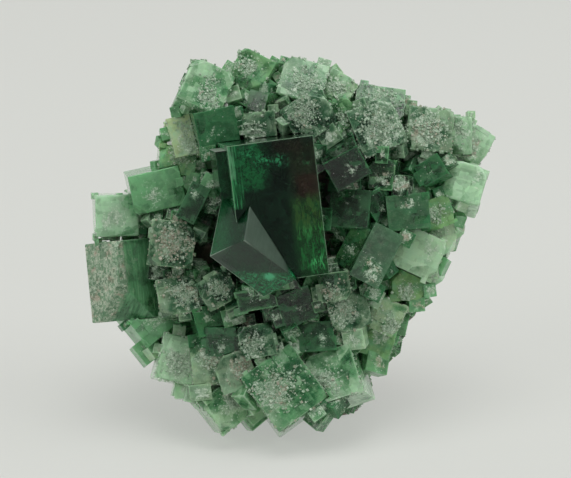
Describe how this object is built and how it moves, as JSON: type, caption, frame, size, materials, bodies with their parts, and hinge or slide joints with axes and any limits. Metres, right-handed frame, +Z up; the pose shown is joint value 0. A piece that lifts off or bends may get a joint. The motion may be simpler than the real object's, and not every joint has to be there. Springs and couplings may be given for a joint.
{
  "type": "fluorite specimen",
  "caption": "Cluster of green cubic fluorite crystals, with a penetration twin in the middle, grown on a lump of rock that stands on its broken foot.",
  "frame": {"origin": "middle of the bounding box at its underside, on the surface that the specimen stands on", "axes": "+Z up, -Y out of the crystal-covered front, +X to the right of someone who looks at that front"},
  "size_m": [0.0736, 0.0482, 0.068],
  "materials": {
    "fluorite_deep": "glassy, dark green, nearly opaque in the middle",
    "fluorite_leaf": "glassy with frosted patches, mid green",
    "fluorite_mint": "glassy with frosted patches, pale green",
    "fluorite_frost": "frosted, etched crystal faces with pinkish stains",
    "host_rock": "rough broken rock"
  },
  "bodies": {
    "root": {"back_corner_cube": "fluorite_leaf", "back_east_cube": "fluorite_leaf", "back_top_cube": "fluorite_mint", "back_west_cube": "fluorite_mint", "blade_cube": "fluorite_deep", "boulder_cube": "fluorite_mint", "bright_step_cube": "fluorite_leaf", "core_cube": "fluorite_deep", "crown_cube": "fluorite_leaf", "dark_north_cube": "fluorite_deep", "dark_west_cube": "fluorite_deep", "dull_cube": "fluorite_frost", "east_foot_cube": "fluorite_leaf", "east_gem": "fluorite_deep", "east_low_cube": "fluorite_mint", "east_tip_cube": "fluorite_mint", "edge_gem": "fluorite_deep", "frost_knob_cube": "fluorite_frost", "frost_step_cube": "fluorite_frost", "frost_west_cube": "fluorite_frost", "glow_cube": "fluorite_leaf", "great_cube": "fluorite_deep", "great_twin": "fluorite_deep", "green_blade_cube": "fluorite_deep", "grey_step_cube": "fluorite_frost", "honey_cube": "fluorite_leaf", "horn_cube": "fluorite_mint", "lozenge_cube": "fluorite_deep", "mint_block": "fluorite_mint", "mint_cube": "fluorite_mint", "north_gem": "fluorite_deep", "north_grey_cube": "fluorite_frost", "north_step_cube": "fluorite_frost", "nw_green_cube": "fluorite_leaf", "nw_pale_cube": "fluorite_mint", "nw_step_cube": "fluorite_leaf", "olive_cube": "fluorite_leaf", "pale_east_cube": "fluorite_mint", "pale_slab_cube": "fluorite_mint", "pane_cube": "fluorite_mint", "pit_cube": "fluorite_deep", "reed_cube": "fluorite_leaf", "ridge_cube": "fluorite_leaf", "rose_cube": "fluorite_frost", "saddle_cube": "fluorite_mint", "shoulder_cube": "fluorite_frost", "side_twin": "fluorite_deep", "slate_cube": "fluorite_deep", "snow_cube": "fluorite_frost", "south_cube": "fluorite_mint", "south_east_cube": "fluorite_mint", "south_gem": "fluorite_deep", "south_tip_cube": "fluorite_mint", "step_cube": "fluorite_frost", "twin_side_cube": "fluorite_frost", "west_block": "fluorite_leaf", "west_pale_cube": "fluorite_mint", "west_tip_cube": "fluorite_leaf", "window_cube": "fluorite_deep", "host_rock": "host_rock"}
  },
  "joints": []
}
